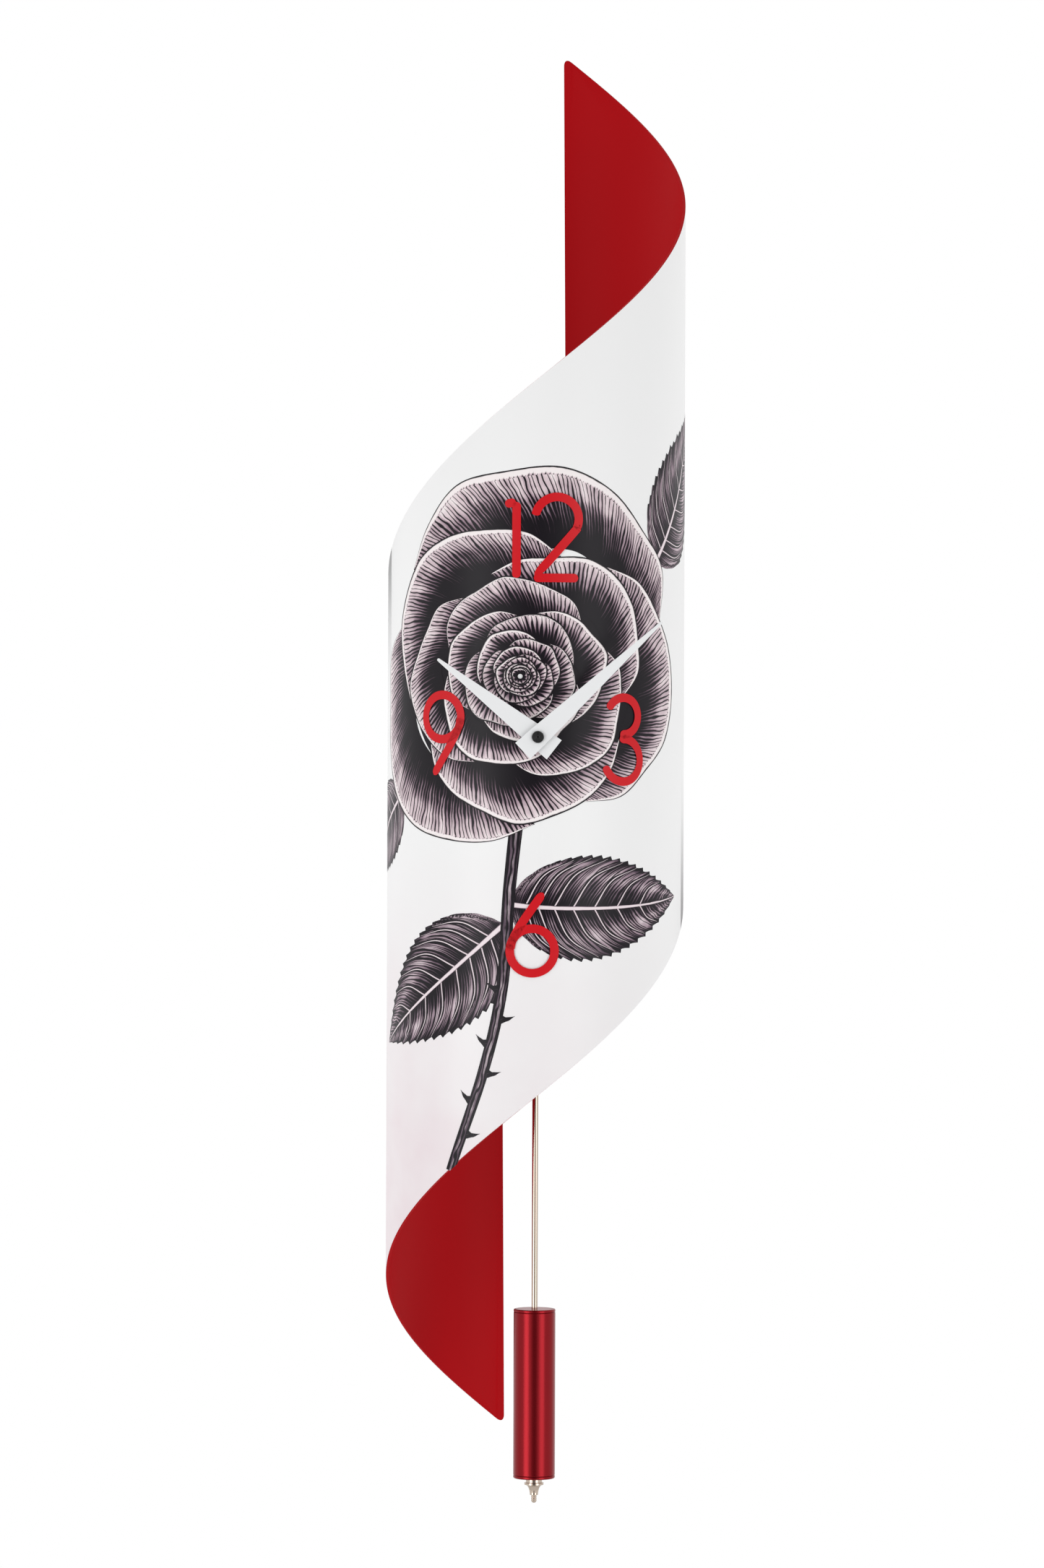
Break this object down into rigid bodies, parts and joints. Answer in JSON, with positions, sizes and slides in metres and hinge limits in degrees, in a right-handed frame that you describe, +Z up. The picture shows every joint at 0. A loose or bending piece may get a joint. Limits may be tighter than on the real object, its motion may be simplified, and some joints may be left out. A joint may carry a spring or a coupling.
{
  "type": "pendulum wall clock",
  "caption": "Wall clock with a slanted rolled-sheet body printed with a rose drawing, flat hands, and a swinging rod with a cylindrical bob and rating nut.",
  "frame": {"origin": "centre of the hanging eyelet, on the wall plane", "axes": "+Z up, +Y into the wall, +X to the right of a viewer facing the dial"},
  "size_m": [0.12, 0.1281, 0.5892],
  "materials": {
    "shell_lacquer": "white stoved enamel with a printed drawing outside, red lacquer inside",
    "zinc_steel": "bright zinc plate",
    "eyelet_brass": "plain brass",
    "pad_rubber": "matt black rubber",
    "case_plastic": "black moulded plastic, fine spark texture",
    "spacer_rubber": "matt black rubber",
    "bush_brass": "turned brass",
    "gear_plastic": "natural white acetal",
    "magnet": "dark sintered magnet",
    "coil_copper": "enamelled copper winding",
    "board_laminate": "green solder mask",
    "chip_resin": "black potting resin",
    "contact_nickel": "nickel-plated spring strip",
    "hand_enamel": "white enamelled aluminium",
    "cap_black": "glossy black",
    "cell_wrap": "printed film over a steel can, no lettering",
    "rod_nickel": "polished nickel plate",
    "bob_anodised": "red anodised, fine turned finish"
  },
  "bodies": {
    "case": {"shell_sheet": "shell_lacquer", "hanger_strap": "zinc_steel", "hanger_eyelet": "eyelet_brass", "hanger_rivets": "zinc_steel", "wall_pads": "pad_rubber", "case_front": "case_plastic", "case_back": "case_plastic", "case_screws": "zinc_steel", "threaded_bush": "bush_brass", "saddle_spacer": "spacer_rubber", "saddle_washer": "zinc_steel", "fixing_nut": "bush_brass", "middle_plate": "gear_plastic", "wheel_pins": "zinc_steel", "stator": "zinc_steel", "motor_coil": "coil_copper", "circuit_board": "board_laminate", "quartz_crystal": "contact_nickel", "drive_chip": "chip_resin", "pendulum_coil": "coil_copper", "contact_plus": "contact_nickel", "contact_minus": "contact_nickel", "pivot_pin": "zinc_steel"},
    "minute": {"minute_arbor": "bush_brass", "clutch_spring": "contact_nickel", "minute_hand": "hand_enamel", "hand_cap": "cap_black"},
    "hour": {"hour_wheel": "gear_plastic", "hour_hand": "hand_enamel"},
    "motion": {"motion_wheel": "gear_plastic"},
    "knob": {"setting_knob": "case_plastic"},
    "centre": {"centre_wheel": "gear_plastic"},
    "third": {"third_wheel": "gear_plastic"},
    "second": {"second_wheel": "gear_plastic"},
    "idler": {"idler_wheel": "gear_plastic"},
    "rotor": {"rotor_pinion": "gear_plastic", "rotor_magnet": "magnet"},
    "cell": {"battery_cell": "cell_wrap"},
    "pendulum": {"swing_arm": "case_plastic", "arm_magnet": "magnet", "pendulum_rod": "rod_nickel", "rating_stud": "rod_nickel"},
    "bob": {"bob_tube": "bob_anodised", "bob_top_cap": "bob_anodised", "bob_bottom_cap": "bob_anodised"},
    "rating": {"rating_nut": "rod_nickel"}
  },
  "joints": [
    {"name": "minute_turn", "type": "hinge", "parent": "case", "child": "minute", "pos_m": [0, -0.12, -0.126], "axis": [0, 1, 0], "continuous": true},
    {"name": "hour_turn", "type": "hinge", "parent": "case", "child": "hour", "pos_m": [0, -0.12, -0.126], "axis": [0, 1, 0], "continuous": true},
    {"name": "motion_turn", "type": "hinge", "parent": "case", "child": "motion", "pos_m": [0.00492, -0.107, -0.12944], "axis": [0, 1, 0], "continuous": true},
    {"name": "knob_turn", "type": "hinge", "parent": "case", "child": "knob", "pos_m": [0.01079, -0.107, -0.13158], "axis": [0, 1, 0], "continuous": true},
    {"name": "second_turn", "type": "hinge", "parent": "case", "child": "second", "pos_m": [-0.00249, -0.107, -0.11592], "axis": [0, 1, 0], "continuous": true},
    {"name": "third_turn", "type": "hinge", "parent": "case", "child": "third", "pos_m": [0.00374, -0.107, -0.11952], "axis": [0, 1, 0], "continuous": true},
    {"name": "centre_turn", "type": "hinge", "parent": "case", "child": "centre", "pos_m": [0, -0.107, -0.126], "axis": [0, 1, 0], "continuous": true},
    {"name": "idler_turn", "type": "hinge", "parent": "case", "child": "idler", "pos_m": [-0.00859, -0.107, -0.11814], "axis": [0, 1, 0], "continuous": true},
    {"name": "rotor_turn", "type": "hinge", "parent": "case", "child": "rotor", "pos_m": [-0.01418, -0.107, -0.11814], "axis": [0, 1, 0], "continuous": true},
    {"name": "cell_slide", "type": "slide", "parent": "case", "child": "cell", "axis": [0, 1, 0], "range_m": [0, 0.03]},
    {"name": "pendulum_swing", "type": "hinge", "parent": "case", "child": "pendulum", "pos_m": [0, -0.09, -0.16], "axis": [0, 1, 0], "range_deg": [-4.5, 4.5]},
    {"name": "bob_slide", "type": "slide", "parent": "pendulum", "child": "bob", "axis": [0, 0, 1], "range_m": [-0.0035, 0.0035]},
    {"name": "rating_turn", "type": "hinge", "parent": "bob", "child": "rating", "pos_m": [0, -0.088, -0.425], "axis": [0, 0, 1], "range_deg": [-1800, 1800]}
  ],
  "couplings": [
    {"joint": "hour_turn", "follows": "minute_turn", "ratio": 0.083333},
    {"joint": "motion_turn", "follows": "minute_turn", "ratio": -0.33333},
    {"joint": "knob_turn", "follows": "minute_turn", "ratio": 0.85714},
    {"joint": "idler_turn", "follows": "rotor_turn", "ratio": -0.16667},
    {"joint": "second_turn", "follows": "rotor_turn", "ratio": 0.033333},
    {"joint": "third_turn", "follows": "rotor_turn", "ratio": -0.0041667},
    {"joint": "centre_turn", "follows": "rotor_turn", "ratio": 0.00055556},
    {"joint": "rating_turn", "follows": "bob_slide", "rad_per_m": 8976}
  ]
}
